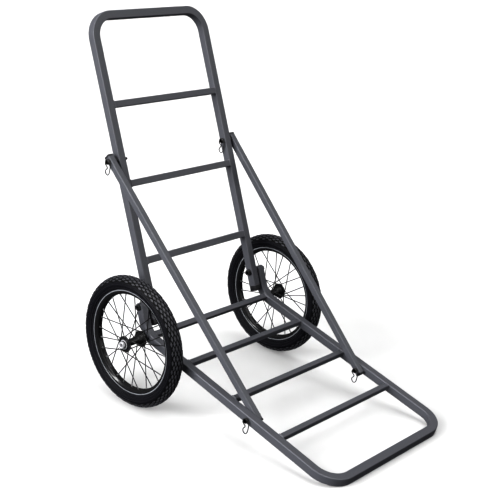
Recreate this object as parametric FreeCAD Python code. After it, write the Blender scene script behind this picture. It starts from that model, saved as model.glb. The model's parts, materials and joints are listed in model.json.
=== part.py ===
import FreeCAD, Part
import math
import os

from FreeCAD import Rotation, Vector

# Folding two-wheel game cart.  Millimetres, +Z up, +X to the right-hand wheel, -Y to the toe.
# The origin is on the ground, in the middle of the footprint from the toe bar to the handle.

# ---- wheels: 16 inch, ETRTO 47-305 ----
WHEEL_RADIUS = 199.5
TYRE_WIDTH = 47.0
TYRE_WALL = 3.0
BEAD_SEAT_RADIUS = 152.5
WHEEL_X = 314.2
SPOKES_PER_FLANGE = 14
SPOKE_DIAMETER = 2.0
SPOKE_STAND_OFF = 2.9
SPOKE_STAND_IN = 1.3

# ---- frame tube, crossbar tube and brace tube, all square ----
TUBE = 25.4
TUBE_WALL = 1.6
TUBE_CORNER = 2.6
BEND_RADIUS = 67.3
BAR = 17.0
UPRIGHT_BAR = 20.0
BAR_WALL = 1.3
BAR_CORNER = 2.0
BRACE = 20.0
BRACE_WALL = 1.3
BRACE_CORNER = 2.2

# ---- base frame ----
BASE_HALF_WIDTH = 259.7
BASE_SLOPE = math.radians(15.1)
TOE_REACH = 759.2
BASE_BARS = {
    "base_crossbar_second": 174.8,
    "base_crossbar_third": 357.6,
    "base_crossbar_front": 542.2,
}
REAR_BAR_TURN = 20.0

# ---- upright frame ----
UPRIGHT_HALF_WIDTH = 225.75
UPRIGHT_LEAN = math.radians(20.1)
PIVOT_BEHIND_AXLE = 23.3
PIVOT_HEIGHT = 289.0
UPRIGHT_TOP = 869.5
LEG_TAIL = 46.0
LEG_PLUG_HEAD = 18.0
UPRIGHT_BARS = {
    "upright_crossbar_lower": 127.2,
    "upright_crossbar_middle": 360.0,
    "upright_crossbar_top": 595.5,
}

# ---- braces: distances of their pins from the pivot and along the rail ----
BRACE_TOP = 435.0
BRACE_FOOT = 438.2
BRACE_TOP_X = 258.6
BRACE_FOOT_X = 235.6
BRACE_OVERHANG = 15.0
BRACE_CAP = 4.5
CAP_STUB = 6.0
FOOT_SLOT_WIDTH = 9.6
FOOT_SLOT_DROP = math.radians(28)
PLUG_GAP = 0.2

# ---- clearances, all on the radius or on one side ----
RUNNING = 0.05
THREAD_GAP = 0.02
HUB_END_GAP = 0.15
BRACE_SIDE_GAP = 0.4

# ---- lock pins and their wire clips ----
PIN_RADIUS = 4.0
PIN_TIP = 7.0
LONG_PIN_TIP = 14.0
PIN_TIP_CHAMFER = 1.5
PIN_HEAD_RADIUS = 8.0
PIN_HEAD_LENGTH = 9.0
PIN_HEAD_CHAMFER = 1.2
CLIP_WIRE_RADIUS = 1.2
CLIP_HALF_WIDTH = 12.5
CLIP_BEND = 4.0
CLIP_LENGTH = 42.0

# ---- pivot bolts, M10 ----
PIVOT_BOLT_RADIUS = 5.0
PIVOT_FLATS = 16.0
PIVOT_HEAD = 6.4
PIVOT_NUT = 9.0
PIVOT_BOLT_END = 2.5
PIVOT_WASHER_RADIUS = 10.0
PIVOT_SPACER_RADIUS = 11.0
WASHER = 2.0
HEXAGON_CHAMFER = 0.8

# ---- stub axles, M12 ----
AXLE_RADIUS = 6.0
AXLE_PLATE = 3.0
AXLE_FLATS = 18.0
AXLE_NUT = 8.5
AXLE_END = 3.0
AXLE_END_CHAMFER = 1.0
AXLE_COLLAR_RADIUS = 9.5
AXLE_WASHER_RADIUS = 12.0

# ---- hub ----
HUB_HALF_WIDTH = 35.5
FLANGE_X = 31.0
FLANGE_HALF = 1.5
FLANGE_RADIUS = 25.5
SPOKE_CIRCLE = 21.5
HUB_BARREL_RADIUS = 10.5
HUB_BARREL_HALF = 19.0
HUB_CUP_HALF = 25.0
HUB_CUP_WALL = 2.5
BEARING_RADIUS = 14.0
BEARING_WIDTH = 8.0
BEARING_SHOULDER = 6.0

# ---- rim ----
RIM_HALF_WIDTH = 14.0
RIM_WALL = 2.0
RIM_EDGE_RADIUS = 158.4
RIM_FLOOR_RADIUS = 145.0
RIM_WELL_HALF = 8.5
BEAD_GAP = 0.1
TYRE_RIM_GAP = 0.2

# ---- spoke heads and nipples ----
SPOKE_HEAD_RADIUS = 1.9
SPOKE_HEAD = 1.4
SPOKE_HEAD_GAP = 0.2
SPOKE_HOLE_GAP = 0.15
NIPPLE_RADIUS = 1.9
NIPPLE_LENGTH = 13.0
NIPPLE_HEAD_RADIUS = 3.0
NIPPLE_HEAD = 1.8
NIPPLE_HOLE_RADIUS = 2.1
NIPPLE_RISE = 1.5
SPOKE_RIM_OFFSET = 2.0

# ---- inner tube and valve: radii along the stem are from the wheel's centre ----
INNER_TUBE_GAP = 0.3
INNER_TUBE_WALL = 1.2
STEM_RADIUS = 4.0
STEM_HOLE_RADIUS = 4.2
STEM_START = 133.0
STEM_END_GAP = 0.3
VALVE_CAP_RADIUS = 4.6
VALVE_CAP = 11.0

X_AXIS = Vector(1, 0, 0)
Y_AXIS = Vector(0, 1, 0)

# Directions in the side view.
RAIL_FORWARD = Vector(0, -math.cos(BASE_SLOPE), -math.sin(BASE_SLOPE))
RAIL_UP = Vector(0, -math.sin(BASE_SLOPE), math.cos(BASE_SLOPE))
LEG_UP = Vector(0, math.sin(UPRIGHT_LEAN), math.cos(UPRIGHT_LEAN))
LEG_FRONT = Vector(0, -math.cos(UPRIGHT_LEAN), math.sin(UPRIGHT_LEAN))


def tilted_half(angle):
    """Half the height of the frame tube's section when it is tilted by angle."""
    return (TUBE / 2 - TUBE_CORNER) * (math.sin(angle) + math.cos(angle)) + TUBE_CORNER


# The origin is halfway between the toe bar's front and the handle's back.
TOE_BAR = TOE_REACH - TUBE / 2
TOE_FRONT = -TOE_BAR * math.cos(BASE_SLOPE) - tilted_half(BASE_SLOPE)
HANDLE_LIFT = UPRIGHT_TOP - TUBE / 2
HANDLE_BACK = PIVOT_BEHIND_AXLE + HANDLE_LIFT * math.sin(UPRIGHT_LEAN) + tilted_half(UPRIGHT_LEAN)
AXLE = Vector(0, -(TOE_FRONT + HANDLE_BACK) / 2, WHEEL_RADIUS)
PIVOT = Vector(0, AXLE.y + PIVOT_BEHIND_AXLE, PIVOT_HEIGHT)

# The toe bar's lowest edge rests on the ground, which sets the height of the rails.
RAIL_START = Vector(0, AXLE.y, tilted_half(BASE_SLOPE) + TOE_BAR * math.sin(BASE_SLOPE))

# Each rail turns up behind the axle into an ear that ends at the pivot.
EAR_TURN = math.pi / 2 - UPRIGHT_LEAN - BASE_SLOPE
TANGENT = BEND_RADIUS * math.tan(EAR_TURN / 2)
PIVOT_OFFSET = PIVOT - RAIL_START
EAR_CORNER_REACH = PIVOT_OFFSET.cross(LEG_UP).x / RAIL_FORWARD.cross(LEG_UP).x
EAR_CORNER = RAIL_START + RAIL_FORWARD * EAR_CORNER_REACH
EAR_LENGTH = (PIVOT - EAR_CORNER).Length


def rail_point(x, distance, height=0.0):
    """Point on a base rail: distance forward of the wheel axis, height above the centreline."""
    return RAIL_START + X_AXIS * x + RAIL_FORWARD * distance + RAIL_UP * height


def leg_point(x, distance, front=0.0):
    """Point on an upright leg: distance up from the pivot, front ahead of the centreline."""
    return PIVOT + X_AXIS * x + LEG_UP * distance + LEG_FRONT * front


def square_face(origin, normal, across, size, corner):
    """Square face with rounded corners, centred on origin."""
    up = normal.cross(across).normalize()
    half = size / 2
    flat = half - corner
    diagonal = half - corner + corner * math.sqrt(0.5)
    edges = []
    for turn in range(4):
        c, s = round(math.cos(turn * math.pi / 2)), round(math.sin(turn * math.pi / 2))
        def place(a, b):
            return origin + across * (a * c - b * s) + up * (a * s + b * c)
        edges.append(Part.makeLine(place(half, -flat), place(half, flat)))
        edges.append(Part.Arc(place(half, flat), place(diagonal, diagonal), place(flat, half)).toShape())
    return Part.Face(Part.Wire(edges))


def walk(start, heading, across, legs, size, corner):
    """Solid square rod along straights and bends.  A leg is a length or (angle, axis, radius)."""
    position, forward, side = Vector(start), Vector(heading), Vector(across)
    pieces = []
    for leg in legs:
        face = square_face(position, forward, side, size, corner)
        if isinstance(leg, tuple):
            angle, axis, radius = leg
            axis = axis * math.copysign(1, angle)
            centre = position + axis.cross(forward) * radius
            pieces.append(face.revolve(centre, axis, abs(angle)))
            turn = Rotation(axis, abs(angle))
            position = centre + turn.multVec(position - centre)
            forward = turn.multVec(forward)
            side = turn.multVec(side)
        else:
            pieces.append(face.extrude(forward * leg))
            position = position + forward * leg
    rod = pieces[0]
    return rod.multiFuse(pieces[1:]).removeSplitter() if len(pieces) > 1 else rod


def tube(start, end, across, size, wall, corner):
    """Straight square tube with open ends."""
    length = (end - start).Length
    forward = (end - start).normalize()
    outer = walk(start, forward, across, [length], size, corner)
    inner = walk(start, forward, across, [length], size - 2 * wall, corner - wall / 2)
    return outer.cut(inner)


def rod(x0, x1, centre, radius):
    """Cylinder along X between x0 and x1, at centre's y and z."""
    low = min(x0, x1)
    return Part.makeCylinder(radius, abs(x1 - x0), Vector(low, centre.y, centre.z), X_AXIS)


def ring(x0, x1, centre, radius, bore):
    return rod(x0, x1, centre, radius).cut(rod(x0, x1, centre, bore))


def hexagon(x0, x1, centre, across_flats):
    """Hexagonal prism along X with its points chamfered by a turned cone at both ends."""
    radius = across_flats / math.sqrt(3)
    low, length = min(x0, x1), abs(x1 - x0)
    points = []
    for corner in range(7):
        angle = corner * math.pi / 3
        points.append(Vector(low, centre.y + radius * math.cos(angle), centre.z + radius * math.sin(angle)))
    prism = Part.Face(Part.makePolygon(points)).extrude(X_AXIS * length)
    drum = Part.makeCylinder(radius, length, Vector(low, centre.y, centre.z), X_AXIS)
    rims = [edge for edge in drum.Edges if isinstance(edge.Curve, Part.Circle)]
    drum = drum.makeChamfer(HEXAGON_CHAMFER, rims)
    return prism.common(drum)


def turned(points, centre_x):
    """Solid of revolution about the wheel axis from (x, radius) points."""
    corners = [AXLE + Vector(centre_x + x, 0, radius) for x, radius in points]
    face = Part.Face(Part.makePolygon(corners + corners[:1]))
    return face.revolve(AXLE, X_AXIS, 360)


def save(name, *solids):
    shape = solids[0] if len(solids) == 1 else Part.makeCompound(list(solids))
    shape.exportStep(os.path.join("parts", name + ".step"))


# ---- base frame ----

def base_rod(size, corner, inset):
    """One rod bent into both ears, both rails and the toe bar, its ears rounded about the pivot."""
    ear = EAR_LENGTH - TANGENT
    rail = TOE_BAR - BEND_RADIUS - EAR_CORNER_REACH - TANGENT
    toe = 2 * (BASE_HALF_WIDTH - BEND_RADIUS)
    reach = TUBE / 2
    start = leg_point(-BASE_HALF_WIDTH, reach)
    ear_turn = math.degrees(EAR_TURN)
    legs = [
        reach + ear,
        (-ear_turn, X_AXIS, BEND_RADIUS),
        rail,
        (90, RAIL_UP, BEND_RADIUS),
        toe,
        (90, RAIL_UP, BEND_RADIUS),
        rail,
        (ear_turn, X_AXIS, BEND_RADIUS),
        ear + reach,
    ]
    shape = walk(start, LEG_UP * -1, X_AXIS, legs, size, corner)
    for side in (-1, 1):
        block_start = leg_point(side * BASE_HALF_WIDTH, 0)
        block = walk(block_start, LEG_UP, X_AXIS, [2 * TUBE], 2 * TUBE, 1)
        x0 = side * BASE_HALF_WIDTH - TUBE
        shape = shape.cut(block.cut(rod(x0, x0 + 2 * TUBE, PIVOT, reach - inset)))
    return shape


def make_base_frame():
    bore = base_rod(TUBE - 2 * TUBE_WALL, TUBE_CORNER - TUBE_WALL / 2, TUBE_WALL)
    shape = base_rod(TUBE, TUBE_CORNER, 0).cut(bore)
    foot = rail_point(0, BRACE_FOOT)
    for side in (-1, 1):
        inner = side * (BASE_HALF_WIDTH - TUBE)
        outer = side * (BASE_HALF_WIDTH + TUBE)
        shape = shape.cut(rod(inner, outer, PIVOT, PIVOT_BOLT_RADIUS + RUNNING))
        shape = shape.cut(rod(inner, outer, foot, PIN_RADIUS + RUNNING))
    save("base_frame", shape)


def crossbar(centre, forward_up, half_width, size):
    """Crossbar along X; forward_up is the normal of its upper face."""
    start = centre - X_AXIS * half_width
    outer = square_face(start, X_AXIS, forward_up, size, BAR_CORNER)
    inner = square_face(start, X_AXIS, forward_up, size - 2 * BAR_WALL, BAR_CORNER - BAR_WALL / 2)
    return outer.cut(inner).extrude(X_AXIS * (2 * half_width))


def make_base_bars():
    half_width = BASE_HALF_WIDTH - TUBE / 2
    flush = (TUBE - BAR) / 2
    for name, distance in BASE_BARS.items():
        save(name, crossbar(rail_point(0, distance, flush), RAIL_UP, half_width, BAR))
    # The rear bar sits on the centreline of the bends and is turned with them.
    centre = rail_point(0, EAR_CORNER_REACH + TANGENT, BEND_RADIUS)
    turn = Rotation(X_AXIS, REAR_BAR_TURN)
    spoke = turn.multVec(RAIL_UP * -BEND_RADIUS)
    save("base_crossbar_rear", crossbar(centre + spoke, spoke.normalize() * -1, half_width, BAR))


# ---- upright frame ----

def upright_rod(size, corner):
    straight = HANDLE_LIFT - BEND_RADIUS + LEG_TAIL
    across = 2 * (UPRIGHT_HALF_WIDTH - BEND_RADIUS)
    axis = LEG_FRONT * -1
    legs = [straight, (90, axis, BEND_RADIUS), across, (90, axis, BEND_RADIUS), straight]
    return walk(leg_point(-UPRIGHT_HALF_WIDTH, -LEG_TAIL), LEG_UP, X_AXIS, legs, size, corner)


def make_upright():
    bore = upright_rod(TUBE - 2 * TUBE_WALL, TUBE_CORNER - TUBE_WALL / 2)
    shape = upright_rod(TUBE, TUBE_CORNER).cut(bore)
    plugs = []
    for side in (-1, 1):
        inner = side * (UPRIGHT_HALF_WIDTH - TUBE)
        outer = side * (UPRIGHT_HALF_WIDTH + TUBE)
        shape = shape.cut(rod(inner, outer, PIVOT, PIVOT_BOLT_RADIUS + RUNNING))
        shape = shape.cut(rod(inner, outer, leg_point(0, BRACE_TOP), PIN_RADIUS + RUNNING))
        end = leg_point(side * UPRIGHT_HALF_WIDTH, -LEG_TAIL)
        head = walk(end, LEG_UP * -1, X_AXIS, [LEG_PLUG_HEAD], TUBE, TUBE_CORNER)
        stub = walk(end, LEG_UP, X_AXIS, [LEG_TAIL / 2], TUBE - 2 * TUBE_WALL - PLUG_GAP, TUBE_CORNER)
        plugs.append(head.fuse(stub))
    save("upright_frame", shape)
    save("leg_plugs", *plugs)
    half_width = UPRIGHT_HALF_WIDTH - TUBE / 2
    flush = (TUBE - UPRIGHT_BAR) / 2
    for name, distance in UPRIGHT_BARS.items():
        save(name, crossbar(leg_point(0, distance, flush), LEG_FRONT, half_width, UPRIGHT_BAR))
    spacers = []
    top = leg_point(0, BRACE_TOP)
    for side in (-1, 1):
        leg_face = side * (UPRIGHT_HALF_WIDTH + TUBE / 2)
        brace_face = side * (BRACE_TOP_X - BRACE / 2 - BRACE_SIDE_GAP)
        spacers.append(ring(leg_face, brace_face, top, PIN_HEAD_RADIUS, PIN_RADIUS + RUNNING))
    save("brace_spacers", *spacers)


def make_pivots():
    """Bolt from outboard through ear, spacer and leg, with a washer and a nut inboard."""
    bolts, washers, nuts, spacers = [], [], [], []
    for side in (-1, 1):
        ear_outer = side * (BASE_HALF_WIDTH + TUBE / 2)
        ear_inner = side * (BASE_HALF_WIDTH - TUBE / 2)
        leg_outer = side * (UPRIGHT_HALF_WIDTH + TUBE / 2 + RUNNING)
        leg_inner = side * (UPRIGHT_HALF_WIDTH - TUBE / 2 - RUNNING)
        head_end = ear_outer + side * PIVOT_HEAD
        washer_end = leg_inner - side * WASHER
        nut_end = washer_end - side * PIVOT_NUT
        tip = nut_end - side * PIVOT_BOLT_END
        head = hexagon(ear_outer, head_end, PIVOT, PIVOT_FLATS)
        bolts.append(head.fuse(rod(ear_outer, tip, PIVOT, PIVOT_BOLT_RADIUS)).removeSplitter())
        hole = PIVOT_BOLT_RADIUS + RUNNING
        washers.append(ring(leg_inner, washer_end, PIVOT, PIVOT_WASHER_RADIUS, hole))
        nut = hexagon(washer_end, nut_end, PIVOT, PIVOT_FLATS)
        nuts.append(nut.cut(rod(washer_end, nut_end, PIVOT, PIVOT_BOLT_RADIUS + THREAD_GAP)))
        spacers.append(ring(ear_inner, leg_outer, PIVOT, PIVOT_SPACER_RADIUS, hole))
    save("pivot_bolts", *bolts)
    save("pivot_washers", *washers)
    save("pivot_nuts", *nuts)
    save("pivot_spacers", *spacers)


# ---- axles ----

def make_axles():
    """A plate on each bend carries a stub axle below and behind the tube."""
    plates, axles, collars, washers, nuts = [], [], [], [], []
    bisector = (RAIL_FORWARD + LEG_UP).normalize()
    bend_middle = EAR_CORNER + bisector * BEND_RADIUS * (1 / math.cos(EAR_TURN / 2) - 1)
    plate_axis = bend_middle - AXLE
    plate_radius = TUBE / 2
    hole = AXLE_RADIUS + THREAD_GAP
    for side in (-1, 1):
        face = side * (BASE_HALF_WIDTH + TUBE / 2)
        plate_end = face + side * AXLE_PLATE
        hub_inner = side * (WHEEL_X - HUB_HALF_WIDTH - HUB_END_GAP)
        hub_outer = side * (WHEEL_X + HUB_HALF_WIDTH + HUB_END_GAP)
        washer_end = hub_outer + side * WASHER
        nut_end = washer_end + side * AXLE_NUT
        axle_end = nut_end + side * AXLE_END
        lower = rod(face, plate_end, AXLE, plate_radius)
        upper = rod(face, plate_end, bend_middle, plate_radius)
        origin = AXLE + X_AXIS * min(face, plate_end)
        width = X_AXIS.cross(plate_axis).normalize() * plate_radius
        web = Part.makePolygon([
            origin - width,
            origin + width,
            origin + width + plate_axis,
            origin - width + plate_axis,
            origin - width,
        ])
        plate = lower.multiFuse([upper, Part.Face(web).extrude(X_AXIS * AXLE_PLATE)]).removeSplitter()
        plates.append(plate.cut(rod(face, plate_end, AXLE, hole)))
        axle = rod(face, axle_end, AXLE, AXLE_RADIUS)
        tip_edges = [edge for edge in axle.Edges if abs(edge.BoundBox.Center.x - axle_end) < 0.01]
        axles.append(axle.makeChamfer(AXLE_END_CHAMFER, tip_edges[:1]))
        collars.append(ring(plate_end, hub_inner, AXLE, AXLE_COLLAR_RADIUS, hole))
        washers.append(ring(hub_outer, washer_end, AXLE, AXLE_WASHER_RADIUS, hole))
        nut = hexagon(washer_end, nut_end, AXLE, AXLE_FLATS)
        nuts.append(nut.cut(rod(washer_end, nut_end, AXLE, hole)))
    save("axle_plates", *plates)
    save("stub_axles", *axles)
    save("axle_collars", *collars)
    save("axle_washers", *washers)
    save("axle_nuts", *nuts)


# ---- braces ----

def make_brace(name, side):
    """Square brace outboard of the leg at the top and inboard of the rail at the foot."""
    top = leg_point(side * BRACE_TOP_X, BRACE_TOP)
    foot = rail_point(side * BRACE_FOOT_X, BRACE_FOOT)
    along = (foot - top).normalize()
    across = (X_AXIS - along * X_AXIS.dot(along)).normalize()
    start = top - along * BRACE_OVERHANG
    end = foot + along * BRACE_OVERHANG
    shape = tube(start, end, across, BRACE, BRACE_WALL, BRACE_CORNER)
    shape = shape.cut(rod(top.x - BRACE, top.x + BRACE, top, PIN_RADIUS + RUNNING))
    # The foot hole opens to the rear as a hook, so that the foot lifts off its pin.
    hook = Vector(0, math.cos(FOOT_SLOT_DROP), -math.sin(FOOT_SLOT_DROP))
    hook_side = X_AXIS.cross(hook).normalize() * (FOOT_SLOT_WIDTH / 2)
    corner = foot - X_AXIS * BRACE
    mouth = hook * (2 * BRACE)
    slot = Part.makePolygon([
        corner - hook_side,
        corner + hook_side,
        corner + hook_side + mouth,
        corner - hook_side + mouth,
        corner - hook_side,
    ])
    shape = shape.cut(Part.Face(slot).extrude(X_AXIS * (2 * BRACE)))
    shape = shape.cut(rod(foot.x - BRACE, foot.x + BRACE, foot, FOOT_SLOT_WIDTH / 2))
    save(name + "_tube", shape)
    caps = []
    for end_point, outward in ((start, along * -1), (end, along)):
        head = walk(end_point, outward, across, [BRACE_CAP], BRACE, BRACE_CORNER)
        stub_size = BRACE - 2 * BRACE_WALL - PLUG_GAP
        stub = walk(end_point, outward * -1, across, [CAP_STUB], stub_size, BRACE_CORNER)
        caps.append(head.fuse(stub))
    save(name + "_caps", *caps)


def make_pin(name, centre, head_x, tip_x):
    """Lock pin along X, its head on the left, with a wire clip through the head."""
    head_end = head_x - PIN_HEAD_LENGTH
    clip_x = head_x - PIN_HEAD_LENGTH / 2
    head = rod(head_end, head_x, centre, PIN_HEAD_RADIUS)
    head_rims = [edge for edge in head.Edges if isinstance(edge.Curve, Part.Circle)]
    head = head.makeChamfer(PIN_HEAD_CHAMFER, head_rims)
    shank = rod(head_x, tip_x, centre, PIN_RADIUS)
    tip_rims = [edge for edge in shank.Edges if abs(edge.BoundBox.Center.x - tip_x) < 0.01]
    shank = shank.makeChamfer(PIN_TIP_CHAMFER, tip_rims[:1])
    hole_start = Vector(clip_x, centre.y - PIN_HEAD_RADIUS, centre.z)
    hole = Part.makeCylinder(CLIP_WIRE_RADIUS + RUNNING, 2 * PIN_HEAD_RADIUS, hole_start, Y_AXIS)
    save(name, head.fuse(shank).removeSplitter().cut(hole))

    def wire_point(y, drop):
        return Vector(clip_x, centre.y + y, centre.z - drop)
    bend, wide = CLIP_BEND, CLIP_HALF_WIDTH
    slack = bend * (1 - math.sqrt(0.5))
    bottom = CLIP_LENGTH - wide
    left = Part.Arc(wire_point(bend - wide, 0), wire_point(slack - wide, slack), wire_point(-wide, bend))
    right = Part.Arc(wire_point(wide, bend), wire_point(wide - slack, slack), wire_point(wide - bend, 0))
    bow = Part.Arc(wire_point(-wide, bottom), wire_point(0, CLIP_LENGTH), wire_point(wide, bottom))
    path = Part.Wire([
        Part.makeLine(wire_point(0, 0), wire_point(bend - wide, 0)),
        left.toShape(),
        Part.makeLine(wire_point(-wide, bend), wire_point(-wide, bottom)),
        bow.toShape(),
        Part.makeLine(wire_point(wide, bottom), wire_point(wide, bend)),
        right.toShape(),
        Part.makeLine(wire_point(wide - bend, 0), wire_point(0, 0)),
    ])
    section = Part.Wire(Part.makeCircle(CLIP_WIRE_RADIUS, wire_point(0, 0), Y_AXIS))
    save(name.replace("_pin", "_clip"), path.makePipeShell([section], True, False))


def make_pins():
    top = leg_point(0, BRACE_TOP)
    foot = rail_point(0, BRACE_FOOT)
    leg_inner = UPRIGHT_HALF_WIDTH - TUBE / 2
    brace_outer = BRACE_TOP_X + BRACE / 2
    rail_outer = BASE_HALF_WIDTH + TUBE / 2
    foot_inner = BRACE_FOOT_X - BRACE / 2
    make_pin("top_left_pin", top, -brace_outer - BRACE_SIDE_GAP, LONG_PIN_TIP - leg_inner)
    make_pin("top_right_pin", top, leg_inner - BRACE_SIDE_GAP, brace_outer + PIN_TIP)
    make_pin("foot_left_pin", foot, -rail_outer - BRACE_SIDE_GAP, PIN_TIP - foot_inner)
    make_pin("foot_right_pin", foot, foot_inner - BRACE_SIDE_GAP, rail_outer + PIN_TIP)


# ---- wheels ----

def spoke_ends(flange, hole):
    """Hub and rim ends of one spoke about the wheel centre; neighbours lean opposite ways."""
    pitch = 2 * math.pi / SPOKES_PER_FLANGE
    shift = pitch / 2 if flange > 0 else 0
    lean = 2 if hole % 2 else -2
    hub_angle = hole * pitch + shift
    rim_angle = hub_angle + lean * pitch
    outside = hole % 2 == 0
    stand_off = FLANGE_HALF + SPOKE_STAND_OFF if outside else -FLANGE_HALF - SPOKE_STAND_IN
    hub_x = flange * (FLANGE_X + stand_off)
    hub_end = Vector(hub_x, SPOKE_CIRCLE * math.cos(hub_angle), SPOKE_CIRCLE * math.sin(hub_angle))
    reach = RIM_FLOOR_RADIUS + RIM_WALL
    rim_x = flange * SPOKE_RIM_OFFSET
    rim_end = Vector(rim_x, reach * math.cos(rim_angle), reach * math.sin(rim_angle))
    return hub_end, rim_end, outside


def all_spokes():
    """Hub end, rim end, whether it leaves from the flange's outside, and the flange, for each spoke."""
    holes = range(SPOKES_PER_FLANGE)
    return [spoke_ends(flange, hole) + (flange,) for flange in (-1, 1) for hole in holes]


def make_spoke(hub_end, rim_end, outside, flange):
    """Straight blade with an elbow through the flange and a flat head on its far side."""
    radius = SPOKE_DIAMETER / 2
    along = (rim_end - hub_end).normalize()
    blade = Part.makeCylinder(radius, (rim_end - hub_end).Length - radius / 2, hub_end, along)
    through = X_AXIS * (-flange if outside else flange)
    stand_off = SPOKE_STAND_OFF if outside else SPOKE_STAND_IN
    elbow_length = stand_off + 2 * FLANGE_HALF + SPOKE_HEAD_GAP + SPOKE_HEAD
    elbow = Part.makeCylinder(radius, elbow_length, hub_end, through)
    head_start = hub_end + through * (elbow_length - SPOKE_HEAD)
    head = Part.makeCylinder(SPOKE_HEAD_RADIUS, SPOKE_HEAD, head_start, through)
    return blade.multiFuse([elbow, Part.makeSphere(radius, hub_end), head])


def make_nipple(hub_end, rim_end):
    """Nipple through the rim, its head on the rim's tyre side, bored for the spoke."""
    along = (rim_end - hub_end).normalize()
    start = rim_end - along * (NIPPLE_LENGTH - NIPPLE_RISE)
    body = Part.makeCylinder(NIPPLE_RADIUS, NIPPLE_LENGTH, start, along)
    head_start = rim_end + along * (NIPPLE_RISE - SPOKE_HEAD_GAP * 1.5)
    head = Part.makeCylinder(NIPPLE_HEAD_RADIUS, NIPPLE_HEAD, head_start, along)
    bore_radius = SPOKE_DIAMETER / 2 + THREAD_GAP
    bore = Part.makeCylinder(bore_radius, NIPPLE_LENGTH + NIPPLE_HEAD, start, along)
    return body.fuse(head).cut(bore)


def rim_section():
    edge, wall, floor = RIM_HALF_WIDTH, RIM_WALL, RIM_FLOOR_RADIUS
    well = RIM_WELL_HALF
    shoulder = BEAD_SEAT_RADIUS - wall
    return [
        (-edge, RIM_EDGE_RADIUS),
        (-edge, shoulder),
        (-well, floor),
        (well, floor),
        (edge, shoulder),
        (edge, RIM_EDGE_RADIUS),
        (edge - wall, RIM_EDGE_RADIUS),
        (edge - wall, shoulder + wall),
        (well - wall / 2, floor + wall),
        (wall / 2 - well, floor + wall),
        (wall - edge, shoulder + wall),
        (wall - edge, RIM_EDGE_RADIUS),
    ]


def tyre_shape(centre_x):
    """Casing: round outside and inside, with two beads held between the rim's edges."""
    outer = TYRE_WIDTH / 2
    inner = outer - TYRE_WALL
    middle = WHEEL_RADIUS - outer
    bead_outer = RIM_HALF_WIDTH - RIM_WALL - BEAD_GAP
    bead_inner = bead_outer - TYRE_WALL
    bead_foot = BEAD_SEAT_RADIUS + BEAD_GAP
    rim_clear = RIM_EDGE_RADIUS + TYRE_RIM_GAP

    def at(x, radius):
        return AXLE + Vector(centre_x + x, 0, radius)
    outer_x = math.sqrt(outer ** 2 - (middle - rim_clear) ** 2)
    inner_radius = middle - math.sqrt(inner ** 2 - bead_inner ** 2)
    edges = [
        Part.makeLine(at(bead_inner, bead_foot), at(bead_outer, bead_foot)),
        Part.makeLine(at(bead_outer, bead_foot), at(bead_outer, rim_clear)),
        Part.makeLine(at(bead_outer, rim_clear), at(outer_x, rim_clear)),
        Part.Arc(at(outer_x, rim_clear), at(0, middle + outer), at(-outer_x, rim_clear)).toShape(),
        Part.makeLine(at(-outer_x, rim_clear), at(-bead_outer, rim_clear)),
        Part.makeLine(at(-bead_outer, rim_clear), at(-bead_outer, bead_foot)),
        Part.makeLine(at(-bead_outer, bead_foot), at(-bead_inner, bead_foot)),
        Part.makeLine(at(-bead_inner, bead_foot), at(-bead_inner, inner_radius)),
        Part.Arc(
            at(-bead_inner, inner_radius), at(0, middle + inner), at(bead_inner, inner_radius)
        ).toShape(),
        Part.makeLine(at(bead_inner, inner_radius), at(bead_inner, bead_foot)),
    ]
    return Part.Face(Part.Wire(edges)).revolve(AXLE, X_AXIS, 360)


def hub_section():
    """The hub's section: barrel, bearing cups and flanges outside, bearing seats and bore inside."""
    cup = BEARING_RADIUS + HUB_CUP_WALL
    bore = BEARING_RADIUS - BEARING_SHOULDER
    seat = HUB_HALF_WIDTH - BEARING_WIDTH
    face_in, face_out = FLANGE_X - FLANGE_HALF, FLANGE_X + FLANGE_HALF
    outside = [
        (HUB_BARREL_HALF, HUB_BARREL_RADIUS),
        (HUB_CUP_HALF, cup),
        (face_in, cup),
        (face_in, FLANGE_RADIUS),
        (face_out, FLANGE_RADIUS),
        (face_out, cup),
        (HUB_HALF_WIDTH, cup),
    ]
    inside = [(HUB_HALF_WIDTH, BEARING_RADIUS), (seat, BEARING_RADIUS), (seat, bore)]
    mirrored = [(-x, radius) for x, radius in reversed(outside)]
    mirrored_inside = [(-x, radius) for x, radius in reversed(inside)]
    return mirrored + outside + inside + mirrored_inside


def make_inner_tube(centre):
    tube_radius = TYRE_WIDTH / 2 - TYRE_WALL - INNER_TUBE_GAP
    middle = centre + Vector(0, 0, WHEEL_RADIUS - TYRE_WIDTH / 2)
    skin, hollow = [
        Part.Face(Part.Wire(Part.makeCircle(radius, middle, Y_AXIS)))
        for radius in (tube_radius, tube_radius - INNER_TUBE_WALL)
    ]
    return skin.cut(hollow).revolve(AXLE, X_AXIS, 360)


def valve_parts(centre):
    """Stem, cap and the stem's hole, between two spokes and pointing at the hub."""
    turn = math.pi / SPOKES_PER_FLANGE / 2
    outward = Vector(0, math.cos(turn), math.sin(turn))
    stem_end = WHEEL_RADIUS - TYRE_WIDTH + TYRE_WALL + INNER_TUBE_GAP - STEM_END_GAP
    start = centre + outward * STEM_START
    stem = Part.makeCylinder(STEM_RADIUS, stem_end - STEM_START, start, outward)
    cap = Part.makeCylinder(VALVE_CAP_RADIUS, VALVE_CAP, start - outward * VALVE_CAP, outward)
    hole = Part.makeCylinder(STEM_HOLE_RADIUS, WHEEL_RADIUS - STEM_START, start, outward)
    return stem, cap, hole


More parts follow.
